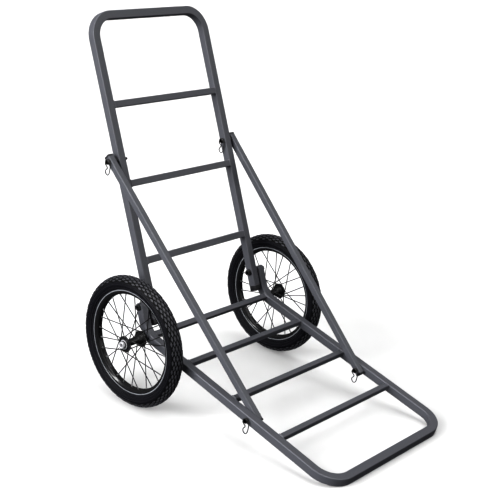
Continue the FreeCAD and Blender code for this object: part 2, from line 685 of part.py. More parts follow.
def make_wheel(name, side):
    centre_x = side * WHEEL_X
    centre = AXLE + X_AXIS * centre_x
    spokes = []
    spoke_holes = []
    nipples = []
    nipple_holes = []
    for hub_offset, rim_offset, outside, flange in all_spokes():
        hub_end, rim_end = centre + hub_offset, centre + rim_offset
        spokes.append(make_spoke(hub_end, rim_end, outside, flange))
        nipples.append(make_nipple(hub_end, rim_end))
        flange_x = centre_x + flange * FLANGE_X
        hole_radius = SPOKE_DIAMETER / 2 + SPOKE_HOLE_GAP
        hole_half = 2 * FLANGE_HALF
        spoke_holes.append(rod(flange_x - hole_half, flange_x + hole_half, hub_end, hole_radius))
        along = (rim_end - hub_end).normalize()
        hole_start = rim_end - along * NIPPLE_LENGTH / 2
        nipple_holes.append(Part.makeCylinder(NIPPLE_HOLE_RADIUS, NIPPLE_LENGTH, hole_start, along))
    stem, cap, stem_hole = valve_parts(centre)
    bearings = []
    for end in (-1, 1):
        outer_x = centre_x + end * HUB_HALF_WIDTH
        inner_x = outer_x - end * BEARING_WIDTH
        bearings.append(ring(outer_x, inner_x, AXLE, BEARING_RADIUS, AXLE_RADIUS + RUNNING))
    save(name + "_tyre", tyre_shape(centre_x))
    save(name + "_inner_tube", make_inner_tube(centre))
    save(name + "_rim", turned(rim_section(), centre_x).cut(nipple_holes + [stem_hole]))
    save(name + "_hub", turned(hub_section(), centre_x).cut(spoke_holes))
    save(name + "_bearings", *bearings)
    save(name + "_spokes", *spokes)
    save(name + "_nipples", *nipples)
    save(name + "_valve", stem, cap)


os.makedirs("parts", exist_ok=True)
make_base_frame()
make_base_bars()
make_upright()
make_pivots()
make_axles()
make_brace("left_brace", -1)
make_brace("right_brace", 1)
make_pins()
make_wheel("left_wheel", -1)
make_wheel("right_wheel", 1)
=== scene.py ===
import json
import math

import bmesh
import bpy
from mathutils import Matrix, Vector


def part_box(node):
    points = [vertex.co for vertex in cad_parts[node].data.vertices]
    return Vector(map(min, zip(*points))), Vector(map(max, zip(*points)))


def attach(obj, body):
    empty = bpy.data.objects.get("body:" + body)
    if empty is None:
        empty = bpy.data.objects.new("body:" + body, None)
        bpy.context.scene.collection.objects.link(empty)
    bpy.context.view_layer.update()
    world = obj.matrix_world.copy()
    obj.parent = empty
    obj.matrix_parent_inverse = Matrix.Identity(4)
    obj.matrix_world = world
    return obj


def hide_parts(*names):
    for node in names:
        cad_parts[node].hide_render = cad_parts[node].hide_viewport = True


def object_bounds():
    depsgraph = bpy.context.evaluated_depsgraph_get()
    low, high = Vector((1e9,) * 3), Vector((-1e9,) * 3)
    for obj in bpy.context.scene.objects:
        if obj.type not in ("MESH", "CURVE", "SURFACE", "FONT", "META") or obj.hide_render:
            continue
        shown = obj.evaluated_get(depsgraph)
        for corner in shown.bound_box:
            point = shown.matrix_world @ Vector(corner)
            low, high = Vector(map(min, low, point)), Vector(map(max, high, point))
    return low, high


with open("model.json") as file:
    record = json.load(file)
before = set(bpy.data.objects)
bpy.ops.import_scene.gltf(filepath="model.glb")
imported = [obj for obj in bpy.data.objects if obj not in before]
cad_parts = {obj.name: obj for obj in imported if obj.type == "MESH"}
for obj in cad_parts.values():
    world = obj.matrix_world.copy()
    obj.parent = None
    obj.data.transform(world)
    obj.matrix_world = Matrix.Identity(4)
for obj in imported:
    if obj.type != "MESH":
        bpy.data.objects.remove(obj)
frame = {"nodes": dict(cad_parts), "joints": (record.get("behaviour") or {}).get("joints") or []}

# Looks of a folding two-wheel game cart: square-tube frame in satin charcoal powder coat,
# knobbly tyres on black spoked wheels.  Metres, +Z up, -Y towards the toe bar.

CAD_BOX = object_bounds()
MM = 0.001
SIDES = ("left", "right")
X_AXIS = Vector((1, 0, 0))

# ---- camera: the whole cart from its left front, a little above ----
CAMERA_AZIMUTH = math.radians(-49.168)
CAMERA_ELEVATION = math.radians(18.665)
CAMERA_ROLL = math.radians(3.766)
CAMERA_DISTANCE = 3.2436
CAMERA_LENS = 80.145
CAMERA_SENSOR = 36.0
CAMERA_AIM_OFFSET = Vector((-0.0403, 0.0087, -0.0770))

# ---- studio ----
VIEW_GAMMA = 0.75
FLOOR_WHITE = (0.485, 0.485, 0.485, 1)
FLOOR_REACH = 60.0
FLOOR_BOUNCE = (0.03, 0.03, 0.033, 1)
# The sky's light rises from low to high between this height of a ray's direction and straight up.
SKY_FROM = -0.3
SKY_LOW = 0.005
SKY_HIGH = 0.30
# Name, place, power, angular size in degrees, and whether it shows in reflections.
SUNS = (
    ("top_light", (0.0, -0.6, 3.2), 2.2, 45.0, True),
    ("front_light", (0.4, -3.0, 2.4), 1.75, 90.0, True),
    ("left_light", (-3.0, 0.4, 0.7), 10.5, 60.0, False),
    ("back_light", (2.4, 3.0, 1.2), 2.6, 100.0, False),
)
# Name, place, aim, size and power.
SOFT_BOXES = (
    ("left_box", (-2.4, 0.9, 1.5), (0, 0.1, 0.5), (0.5, 2.2), 60.0),
)

# A surface counts as flat above the first cosine between its normals, as a full edge below the second.
EDGE_FLAT = 0.98
EDGE_SHARP = 0.75

# ---- tyre: angles are degrees round the section, from the crown ----
# The tread is a lattice of long diamond blocks, half a pitch apart from row to row.
TREAD_PITCHES = 42
TREAD_ROW_ANGLE = 12.0
TREAD_HEIGHT = 3.0 * MM
# Share of that height in each row, from the middle row outwards.
ROW_HEIGHTS = (1.0, 1.0, 1.0, 1.0, 0.8, 0.45)
TREAD_ROWS = len(ROW_HEIGHTS) - 1
GROOVE_SHARE = 0.18
GROOVE_WALL = 0.045
BLOCK_MIDDLE = (0.34, 0.5, 0.66)
BLOCK_TIP_PULL = 0.18
SHOULDER_ANGLE = 48.0
WIDEST_ANGLE = 90.0
SIDEWALL_END = 142.0
SIDEWALL_STEPS = 30
# Ribs and grooves of the sidewall: angle, height and half width.
SIDEWALL_RIBS = (
    (76.5, 0.40 * MM, 1.6),
    (87.0, -1.30 * MM, 2.6),
    (92.0, 0.35 * MM, 1.6),
    (113.0, -1.50 * MM, 2.8),
    (119.0, 0.45 * MM, 2.0),
    (128.0, -0.70 * MM, 2.0),
    (135.5, 1.00 * MM, 3.0),
)
# The inside: its wall, the angles of its rings, and how far the bead sits inside the rim.
TYRE_WALL = 3.0 * MM
INSIDE_ANGLES = (135.0, 110.0, 85.0, 60.0, 35.0, 12.0)
BEAD_INSET = 2.4 * MM
BEAD_DEPTH = 5.6 * MM
RIM_GAP = 0.4 * MM

# ---- wheel metal ----
RIM_DEPTH = 14.2 * MM
RIM_WALL = 1.8 * MM
# A painted highlight, a pale tone on the paint, covers the rim within this depth of its outer edge.
LIP_DEPTH = 3.0 * MM
LIP_HIGHLIGHT_TONE = (0.26, 0.27, 0.29, 1)
SCALLOP_DEPTH = 1.3 * MM
BEARING_DEPTH = 8.0 * MM
VALVE_REACH = 122.0 * MM
CAP_FLUTES = 20
CAP_FLUTE_DEPTH = 0.4 * MM
SPOKES_PER_FLANGE = 14
SPOKE_RADIUS = 1.4 * MM
FLANGE_X = 31.0 * MM
FLANGE_HALF = 1.6 * MM
SPOKE_CIRCLE = 21.5 * MM
SPOKE_STAND_OFF = 2.9 * MM
SPOKE_STAND_IN = 1.3 * MM
SPOKE_RIM_OFFSET = 2.0 * MM
SPOKE_RIM_DEPTH = 13.4 * MM
# Millimetres from a spoke's rim end back to where its nipple starts.
NIPPLE_START = 9.6

# ---- frame directions in the side view ----
BASE_SLOPE = math.radians(15.1)
UPRIGHT_LEAN = math.radians(20.1)
REAR_BAR_TURN = math.radians(35.1)
LEG_UP = Vector((0, math.sin(UPRIGHT_LEAN), math.cos(UPRIGHT_LEAN)))

# ---- joints, caps and fastenings ----
BASE_BAR_HALF = 8.5 * MM
UPRIGHT_BAR_HALF = 10.0 * MM
BAR_CORNER = 2.0 * MM
TUBE_HALF = 12.7 * MM
TUBE_CORNER = 2.6 * MM
LEG_X = 225.75 * MM
LEG_TAIL = 46.0 * MM
BRACE_HALF = 10.0 * MM
BRACE_CORNER = 2.2 * MM
BRACE_TOP_X = 258.6 * MM
BRACE_FOOT_X = 235.6 * MM
BRACE_OVERHANG = 15.0 * MM
AXLE_SEAT = 3.0 * MM
PIVOT_NUT = 9.0 * MM
PIVOT_BOLT_END = 2.5 * MM
PIN_FLUTES = 24
PIN_FLUTE_DEPTH = 0.45 * MM
CLIP_WIRE = 1.45 * MM
# Across and down from the head's hole, in millimetres.
CLIP_OUTLINE = (
    (0, 0), (-5, 0), (-9.5, 1), (-11.5, 4.5), (-10.8, 14), (-9, 26), (-6, 35), (0, 39.5), (6, 37), (9, 31),
    (7, 25), (2.5, 20.5), (2.2, 16), (6.5, 12), (10.2, 8), (10, 3), (7, 0.6), (4, 0),
)
WELD_RADIUS = 2.1 * MM
WELD_RIPPLE = 0.16
WELD_PITCH = 2.6 * MM
WELD_STEP = 0.65 * MM
WELD_INSET = 0.4 * MM
# Body, half width and turn in the side view of each crossbar that is welded at both ends.
WELDED_BARS = {
    "base_crossbar_second": ("base", BASE_BAR_HALF, BASE_SLOPE),
    "base_crossbar_third": ("base", BASE_BAR_HALF, BASE_SLOPE),
    "base_crossbar_front": ("base", BASE_BAR_HALF, BASE_SLOPE),
    "base_crossbar_rear": ("base", BASE_BAR_HALF, REAR_BAR_TURN),
    "upright_crossbar_lower": ("upright", UPRIGHT_BAR_HALF, -UPRIGHT_LEAN),
    "upright_crossbar_middle": ("upright", UPRIGHT_BAR_HALF, -UPRIGHT_LEAN),
    "upright_crossbar_top": ("upright", UPRIGHT_BAR_HALF, -UPRIGHT_LEAN),
}


# ======================= mesh helpers =======================

def add_piece(name, vertices, faces, material, sharp=32.0):
    """Mesh object with outward normals, smooth but for edges sharper than the given angle."""
    mesh = bpy.data.meshes.new(name)
    mesh.from_pydata([tuple(v) for v in vertices], [], faces)
    work = bmesh.new()
    work.from_mesh(mesh)
    bmesh.ops.recalc_face_normals(work, faces=work.faces)
    limit = math.radians(sharp)
    for face in work.faces:
        face.smooth = True
    for edge in work.edges:
        edge.smooth = len(edge.link_faces) == 2 and edge.calc_face_angle(0) < limit
    work.to_mesh(mesh)
    work.free()
    mesh.materials.append(material)
    obj = bpy.data.objects.new(name, mesh)
    bpy.context.scene.collection.objects.link(obj)
    return obj


def settle(piece, body, slot, *nodes):
    """The piece rides on the body and stands for the CAD nodes; the slot argument is not used."""
    if nodes:
        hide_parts(*nodes)
    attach(piece, body)


def add_mask(piece, name, values):
    """One value for each vertex, which a material reads by name."""
    layer = piece.data.attributes.new(name, "FLOAT", "POINT")
    layer.data.foreach_set("value", values)


class Parts:
    """Vertices and faces of several closed shells that become one piece."""

    def __init__(self):
        self.vertices = []
        self.faces = []

    def add(self, vertices, faces):
        start = len(self.vertices)
        self.vertices += vertices
        self.faces += [[start + i for i in face] for face in faces]

    def piece(self, name, material, sharp=32.0):
        return add_piece(name, self.vertices, self.faces, material, sharp)


def grid_faces(rows, columns, close_rows, close_columns):
    faces = []
    for i in range(rows if close_rows else rows - 1):
        for j in range(columns if close_columns else columns - 1):
            a, b = i * columns, (i + 1) % rows * columns
            k = (j + 1) % columns
            faces.append([a + j, a + k, b + k, b + j])
    return faces


def rounded(points, steps=4):
    """Closed outline of (a, b, radius) points with each corner rounded by its radius."""
    outline = []
    count = len(points)
    for i, (a, b, radius) in enumerate(points):
        corner = Vector((a, b))
        back = Vector(points[i - 1][:2]) - corner
        ahead = Vector(points[(i + 1) % count][:2]) - corner
        if radius <= 0:
            outline.append(tuple(corner))
            continue
        half = back.angle(ahead) / 2
        reach = min(radius / math.tan(half), back.length * 0.49, ahead.length * 0.49)
        start, end = corner + back.normalized() * reach, corner + ahead.normalized() * reach
        for k in range(steps + 1):
            t = k / steps
            point = start * (1 - t) ** 2 + corner * (2 * t * (1 - t)) + end * t * t
            outline.append(tuple(point))
    return outline


def mirrored(outline):
    """The (x, radius, corner) outline of a right half, then its left half."""
    return outline + [(-x, radius, corner) for x, radius, corner in reversed(outline)]


def lathe(profile, centre, segments, ripple=None):
    """Closed (x, radius) profile turned about the X axis through centre.

    ripple, if given, changes a profile point's radius at each angle."""
    vertices = []
    for step in range(segments):
        angle = 2 * math.pi * step / segments
        c, s = math.cos(angle), math.sin(angle)
        for x, radius in profile:
            r = ripple(x, radius, angle) if ripple else radius
            vertices.append(centre + Vector((x, r * c, r * s)))
    return vertices, grid_faces(segments, len(profile), True, True)


def turned_rod(start, along, profile, sides=32, knurls=0, depth=0.0):
    """Solid turned about a line: (distance, radius) points, with flutes where radius is negative."""
    sections = []
    for _, radius in profile:
        points = []
        for k in range(sides):
            angle = 2 * math.pi * k / sides
            r = abs(radius)
            if radius < 0:
                r -= depth * (0.5 - 0.5 * math.cos(knurls * angle))
            points.append((r * math.cos(angle), r * math.sin(angle)))
        sections.append(points)
    return sweep([start + along * distance for distance, _ in profile], sections)


def hexagon_radius(flats, angle):
    """Distance from the middle of a hexagon to its edge."""
    sector = math.pi / 3
    return flats / 2 / math.cos(angle % sector - sector / 2)


def hexagon_nut(centre, x0, x1, flats, bore):
    """Nut with its points turned off at both ends and a countersunk bore."""
    chamfer = 0.9 * MM
    corner = flats / math.sqrt(3)
    side = 1 if x1 > x0 else -1
    end = flats / 2 - 0.3 * MM
    steps = [(0.0, end), (chamfer * 0.5, (end + corner) / 2), (chamfer, corner)]
    length = abs(x1 - x0)
    outside = steps + [(length - d, r) for d, r in reversed(steps)]
    sink = 0.8 * MM
    inside = [(length, bore + sink), (length - sink, bore), (sink, bore), (0.0, bore + sink)]
    profile = [(x0 + side * d, r) for d, r in outside + inside]

    def six_sided(x, radius, angle):
        return min(radius, hexagon_radius(flats, angle)) if radius > flats / 2 - 0.31 * MM else radius

    return lathe(profile, centre, 96, six_sided)


def circle(radius, sides):
    steps = [2 * math.pi * k / sides for k in range(sides)]
    return [(radius * math.cos(a), radius * math.sin(a)) for a in steps]


def rounded_square(half, corner, steps=3):
    flat = half - corner
    outline = []
    for turn in range(4):
        base = turn * math.pi / 2
        cx = flat * (1 if turn in (0, 3) else -1)
        cy = flat * (1 if turn in (0, 1) else -1)
        for k in range(steps + 1):
            angle = base + math.pi / 2 * k / steps
            outline.append((cx + corner * math.cos(angle), cy + corner * math.sin(angle)))
    return outline


def sweep(path, sections, side=None, closed=False):
    """Skin over one section per path point, or one section for all, turned along the path."""
    count = len(path)
    tangents = []
    for i, point in enumerate(path):
        before = path[i - 1] if closed or i else point
        after = path[(i + 1) % count] if closed or i < count - 1 else point
        tangents.append((after - before).normalized())
    if side is None:
        side = tangents[0].orthogonal()
    vertices = []
    for i, point in enumerate(path):
        if i:
            side = tangents[i - 1].rotation_difference(tangents[i]) @ side
        side = (side - tangents[i] * side.dot(tangents[i])).normalized()
        other = tangents[i].cross(side)
        section = sections[i] if isinstance(sections[0][0], (tuple, list)) else sections
        vertices += [point + side * a + other * b for a, b in section]
    columns = len(vertices) // count
    faces = grid_faces(count, columns, closed, True)
    if not closed:
        faces.append(list(range(columns))[::-1])
        faces.append([(count - 1) * columns + j for j in range(columns)])
    return vertices, faces


def arc(start, corner, end, radius, steps):
    """Points from start to end by way of corner, which is rounded by radius."""
    back, ahead = (start - corner).normalized(), (end - corner).normalized()
    half = back.angle(ahead) / 2
    reach = radius / math.tan(half)
    first, last = corner + back * reach, corner + ahead * reach
    points = [start]
    for k in range(steps + 1):
        t = k / steps
        points.append(first * (1 - t) ** 2 + corner * (2 * t * (1 - t)) + last * t * t)
    points.append(end)
    return points


def smooth_loop(knots, steps):
    """Closed Catmull-Rom curve through the knots."""
    count = len(knots)
    points = []
    for i in range(count):
        a, b, c, d = (knots[(i + k) % count] for k in (-1, 0, 1, 2))
        for step in range(steps):
            t = step / steps
            points.append(0.5 * (
                b * 2 + (c - a) * t + (a * 2 - b * 5 + c * 4 - d) * t ** 2 + (b * 3 - a - c * 3 + d) * t ** 3
            ))
    return points


# ======================= materials =======================

class Nodes:
    """Short way to build one material's node tree."""

    def __init__(self, name):
        self.material = bpy.data.materials.new(name)
        self.material.use_nodes = True
        self.tree = self.material.node_tree
        self.shader = self.tree.nodes["Principled BSDF"]
        self.place = self.add("ShaderNodeTexCoord").outputs["Object"]

    def add(self, kind, **settings):
        node = self.tree.nodes.new(kind)
        for key, value in settings.items():
            setattr(node, key, value)
        return node

    def join(self, value, socket):
        if isinstance(value, bpy.types.NodeSocket):
            self.tree.links.new(value, socket)
        else:
            socket.default_value = value

    def noise(self, scale, detail=4.0, roughness=0.55, stretch=None):
        node = self.add("ShaderNodeTexNoise")
        place = self.place
        if stretch:
            mapping = self.add("ShaderNodeMapping")
            mapping.inputs["Scale"].default_value = stretch
            self.join(place, mapping.inputs["Vector"])
            place = mapping.outputs["Vector"]
        self.join(place, node.inputs["Vector"])
        node.inputs["Scale"].default_value = scale
        node.inputs["Detail"].default_value = detail
        node.inputs["Roughness"].default_value = roughness
        return node.outputs["Fac"]

    def spread(self, value, low, high, to_low=0.0, to_high=1.0):
        node = self.add("ShaderNodeMapRange")
        self.join(value, node.inputs["Value"])
        node.inputs["From Min"].default_value = low
        node.inputs["From Max"].default_value = high
        node.inputs["To Min"].default_value = to_low
        node.inputs["To Max"].default_value = to_high
        return node.outputs["Result"]

    def maths(self, operation, a, b):
        node = self.add("ShaderNodeMath", operation=operation)
        self.join(a, node.inputs[0])
        self.join(b, node.inputs[1])
        return node.outputs[0]

    def mix(self, share, a, b):
        node = self.add("ShaderNodeMix", data_type="RGBA")
        self.join(share, node.inputs["Factor"])
        self.join(a, node.inputs["A"])
        self.join(b, node.inputs["B"])
        return node.outputs["Result"]

    def edges(self, radius):
        """1 on convex and concave edges, 0 on flats."""
        bevel = self.add("ShaderNodeBevel", samples=4)
        bevel.inputs["Radius"].default_value = radius
        geometry = self.add("ShaderNodeNewGeometry")
        dot = self.add("ShaderNodeVectorMath", operation="DOT_PRODUCT")
        self.join(bevel.outputs["Normal"], dot.inputs[0])
        self.join(geometry.outputs["True Normal"], dot.inputs[1])
        return self.spread(dot.outputs["Value"], EDGE_FLAT, EDGE_SHARP)

    def bump(self, height, strength, distance):
        node = self.add("ShaderNodeBump")
        node.inputs["Strength"].default_value = strength
        node.inputs["Distance"].default_value = distance
        self.join(height, node.inputs["Height"])
        self.join(node.outputs["Normal"], self.shader.inputs["Normal"])

    def set(self, **values):
        for key, value in values.items():
            self.join(value, self.shader.inputs[key.replace("_", " ")])


def powder_coat():
    n = Nodes("powder_coat")
    cloud = n.noise(9.0, 3.0)
    grain = n.noise(1400.0, 2.0)
    peel = n.noise(420.0, 3.0, 0.6)
    scuff = n.noise(60.0, 8.0, 0.7)
    base = n.mix(cloud, (0.054, 0.056, 0.065, 1), (0.068, 0.070, 0.081, 1))
    base = n.mix(n.spread(grain, 0.35, 0.75, 0.0, 0.22), base, (0.16, 0.16, 0.165, 1))
    # Paler edges: partly wear, partly a painted highlight along the rounded tube edges.
    pale_edge = n.maths("MULTIPLY", n.edges(1.5 * MM), n.spread(scuff, 0.42, 0.68, 0.15, 0.8))
    base = n.mix(pale_edge, base, (0.31, 0.31, 0.32, 1))
    rough = n.spread(scuff, 0.3, 0.7, 0.34, 0.45)
    n.set(Base_Color=base, Roughness=rough, Metallic=0.20, Specular_IOR_Level=0.55)
    n.set(Coat_Weight=0.20, Coat_Roughness=0.22)
    n.bump(n.maths("ADD", n.maths("MULTIPLY", peel, 0.8), n.maths("MULTIPLY", grain, 0.3)), 0.30, 0.12 * MM)
    return n.material


def tyre_rubber():
    n = Nodes("tyre_rubber")
    fine = n.noise(900.0, 3.0)
    dust = n.noise(45.0, 6.0, 0.65)
    top = n.add("ShaderNodeAttribute", attribute_name="block_top").outputs["Fac"]
    gap = n.add("ShaderNodeAttribute", attribute_name="groove_floor").outputs["Fac"]
    wall = n.mix(dust, (0.003, 0.003, 0.004, 1), (0.007, 0.007, 0.009, 1))
    # Block tops are far lighter than the same rubber's walls and sidewalls: a painted glint.
    block_glint = n.mix(dust, (0.018, 0.018, 0.021, 1), (0.046, 0.047, 0.053, 1))
    # Groove floors go darker still: painted shade.
    base = n.mix(top, n.mix(gap, wall, (0.002, 0.002, 0.002, 1)), block_glint)
    # Paler edges on the rubber: a painted highlight.
    base = n.mix(n.maths("MULTIPLY", n.edges(0.8 * MM), 0.45), base, (0.080, 0.082, 0.090, 1))
    n.set(Base_Color=base, Roughness=n.spread(dust, 0.3, 0.7, 0.42, 0.58))
    n.set(Specular_IOR_Level=n.spread(top, 0.0, 1.0, 0.14, 0.42))
    n.bump(fine, 0.35, 0.10 * MM)
    return n.material


def gloss_black(name, tone, rough, fine_scale=260.0, edge_wear_and_highlight=0.6, lip_highlight=0.0):
    """Black paint on metal: a little uneven, with paler edges that are partly wear and partly a painted
    highlight.

    The last argument is how much of the lip's pale tone, a painted highlight, is mixed in where the mesh mask
    lip is 1."""
    n = Nodes(name)
    wave = n.noise(30.0, 5.0, 0.6)
    fine = n.noise(fine_scale, 3.0)
    dark = (tone, tone, tone * 1.05, 1)
    pale = (tone * 1.7, tone * 1.7, tone * 1.8, 1)
    base = n.mix(wave, dark, pale)
    # Paler edges: partly wear, partly a painted highlight.
    base = n.mix(n.maths("MULTIPLY", n.edges(0.7 * MM), edge_wear_and_highlight), base, (0.16, 0.16, 0.17, 1))
    metal = 0.15
    # Painted highlight: the rim's lip takes a pale tone where the lip mask is 1.
    if lip_highlight:
        lip = n.add("ShaderNodeAttribute", attribute_name="lip").outputs["Fac"]
        pale_edge = n.maths("MULTIPLY", lip, n.spread(fine, 0.3, 0.7, 0.75 * lip_highlight, lip_highlight))
        base = n.mix(pale_edge, base, LIP_HIGHLIGHT_TONE)
        metal = n.spread(pale_edge, 0.0, 1.0, metal, 0.3)
    n.set(Base_Color=base, Roughness=n.spread(wave, 0.3, 0.7, rough, rough + 0.10))
    n.set(Metallic=metal, Coat_Weight=0.35, Coat_Roughness=rough * 0.6)
    n.bump(fine, 0.18, 0.06 * MM)
    return n.material


def bare_steel(name, tone, rough, metal):
    """Plated steel with fine turning marks about the X axis.

    Below 1, metal leaves some plain pale surface, so that the piece doesn't only mirror a dark floor."""
    n = Nodes(name)
    lines = n.noise(300.0, 3.0, 0.6, stretch=(18.0, 1.0, 1.0))
    stain = n.noise(55.0, 6.0, 0.65)
    base = n.mix(stain, (tone, tone, tone * 1.02, 1), (tone * 0.72, tone * 0.72, tone * 0.75, 1))
    n.set(Base_Color=base, Metallic=metal, Roughness=n.spread(lines, 0.3, 0.7, rough, rough + 0.14))
    n.bump(lines, 0.25, 0.04 * MM)
    return n.material


def moulded_plastic():
    n = Nodes("moulded_plastic")
    pits = n.noise(1100.0, 2.0)
    wave = n.noise(70.0, 5.0)
    base = n.mix(wave, (0.004, 0.004, 0.005, 1), (0.010, 0.010, 0.011, 1))
    # Paler edges: partly wear, partly a painted highlight.
    base = n.mix(n.maths("MULTIPLY", n.edges(0.8 * MM), 0.3), base, (0.05, 0.05, 0.053, 1))
    n.set(Base_Color=base, Roughness=n.spread(wave, 0.3, 0.7, 0.45, 0.58))
    n.bump(pits, 0.4, 0.08 * MM)
    return n.material


def floor_paper():
    """Paper that is white to the camera and dark to the cart, so that undersides stay deep."""
    n = Nodes("floor_paper")
    mottle = n.maths("MULTIPLY", n.noise(6.0, 2.0), 0.01)
    white = n.mix(mottle, FLOOR_WHITE, (0.5, 0.5, 0.5, 1))
    seen = n.add("ShaderNodeLightPath").outputs["Is Camera Ray"]
    n.set(Base_Color=n.mix(seen, FLOOR_BOUNCE, white), Roughness=0.9, Specular_IOR_Level=0.0)
    return n.material


PAINT = powder_coat()
RUBBER = tyre_rubber()
RIM_PAINT = gloss_black("rim_paint", 0.006, 0.16, lip_highlight=0.9)
HUB_PAINT = gloss_black("hub_paint", 0.007, 0.22)
SPOKE_PAINT = gloss_black("spoke_coating", 0.003, 0.45, edge_wear_and_highlight=0.1)
BLACK_STEEL = gloss_black("black_oxide", 0.006, 0.28, 700.0, edge_wear_and_highlight=0.15)
ZINC = bare_steel("zinc_plate", 0.74, 0.34, 0.55)
NICKEL = bare_steel("nipple_plate", 0.24, 0.30, 0.9)
PLASTIC = moulded_plastic()

NODE_LOOKS = {
    PAINT: ["base_frame", "base_crossbar", "upright_frame", "upright_crossbar", "brace_tube", "axle_plates"],
    ZINC: ["axle_nuts", "bearings"],
    BLACK_STEEL: [
        "stub_axles", "axle_washers", "axle_collars", "pivot_bolts", "pivot_nuts", "pivot_washers",
        "_pin", "_clip",
    ],
    PLASTIC: ["pivot_spacers", "brace_spacers", "leg_plugs", "brace_caps", "valve"],
    RUBBER: ["inner_tube", "tyre"],
    RIM_PAINT: ["rim"],
    HUB_PAINT: ["hub"],
    SPOKE_PAINT: ["spokes"],
    NICKEL: ["nipples"],
}


def look_of(node):
    """The material of the first entry with a word that is in the node's name."""
    for material, words in NODE_LOOKS.items():
        if any(word in node for word in words):
            return material
    raise KeyError(node)


def paint_cad_nodes():
    for name, obj in frame["nodes"].items():
        for slot in obj.material_slots:
            slot.material = look_of(name)


# ======================= wheels =======================

def wheel_place(side):
    low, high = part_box(side + "_wheel_tyre")
    return (low + high) / 2, (high.z - low.z) / 2, (high.x - low.x) / 2


def sidewall(angle, crown, widest, foot):
    """Casing radius about the section's centre at an angle from the crown, in degrees."""
    if angle < WIDEST_ANGLE:
        t = max(0.0, (angle - SHOULDER_ANGLE) / (WIDEST_ANGLE - SHOULDER_ANGLE))
        radius = crown + (widest - crown) * t * t * (3 - 2 * t)
    else:
        t = (angle - WIDEST_ANGLE) / (SIDEWALL_END - WIDEST_ANGLE)
        radius = widest + (foot - widest) * t * t
    for middle, height, half in SIDEWALL_RIBS:
        radius += height * math.exp(-(((angle - middle) / half) ** 2))
    return radius


def tread_marks():
    """Grid lines across one lattice cell: groove edges, wall tops and the lines between them."""
    top = GROOVE_SHARE + GROOVE_WALL
    return (0.0, GROOVE_SHARE, top) + BLOCK_MIDDLE + (1 - top, 1 - GROOVE_SHARE)


